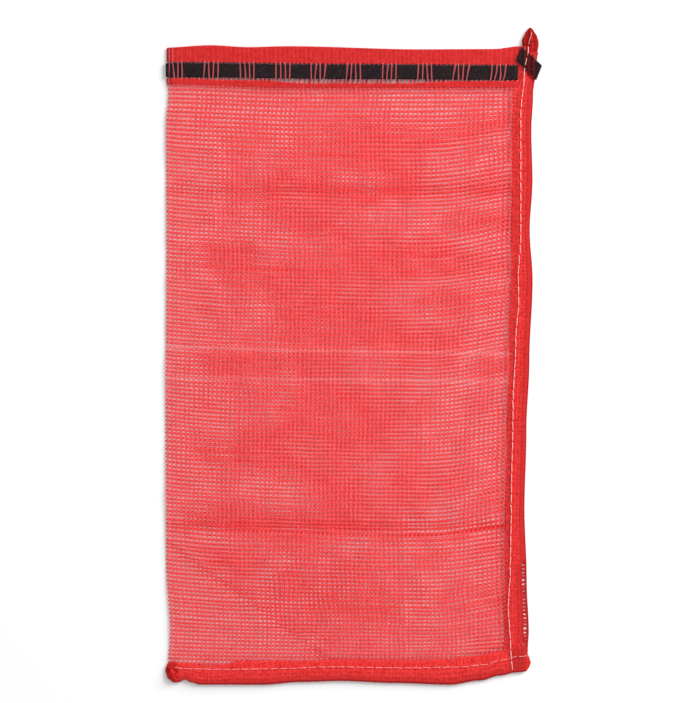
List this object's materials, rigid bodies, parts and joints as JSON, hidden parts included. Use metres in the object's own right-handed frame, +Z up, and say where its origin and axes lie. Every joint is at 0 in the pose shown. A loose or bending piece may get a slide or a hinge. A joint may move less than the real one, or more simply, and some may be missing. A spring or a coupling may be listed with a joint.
{
  "type": "mesh produce bag",
  "caption": "Empty flat sack of red leno netting, folded at one side and hemmed at the other and the bottom, with a dense mouth band and a black drawstring tape.",
  "frame": {"origin": "middle of the sack's outline, on the surface it lies on", "axes": "+X from the folded side to the hemmed side, +Y from the bottom hem to the mouth, +Z up out of the shown face"},
  "size_m": [0.3956, 0.689, 0.0084],
  "materials": {
    "net_red": "open net of slightly glossy, slightly see-through plastic tape yarn",
    "band_red": "dense ribbed weave of the same yarn",
    "hem_red": "several layers of the same net pressed flat and sewn",
    "tape_black": "slightly glossy black tape woven from flat yarn",
    "thread_white": "matt white sewing thread"
  },
  "bodies": {
    "root": {"net": "net_red", "mouth_band": "band_red", "side_hem": "hem_red", "bottom_hem": "hem_red", "drawstring": "tape_black", "side_stitches": "thread_white", "tail_stitches": "thread_white", "bottom_stitches": "thread_white"}
  },
  "joints": []
}
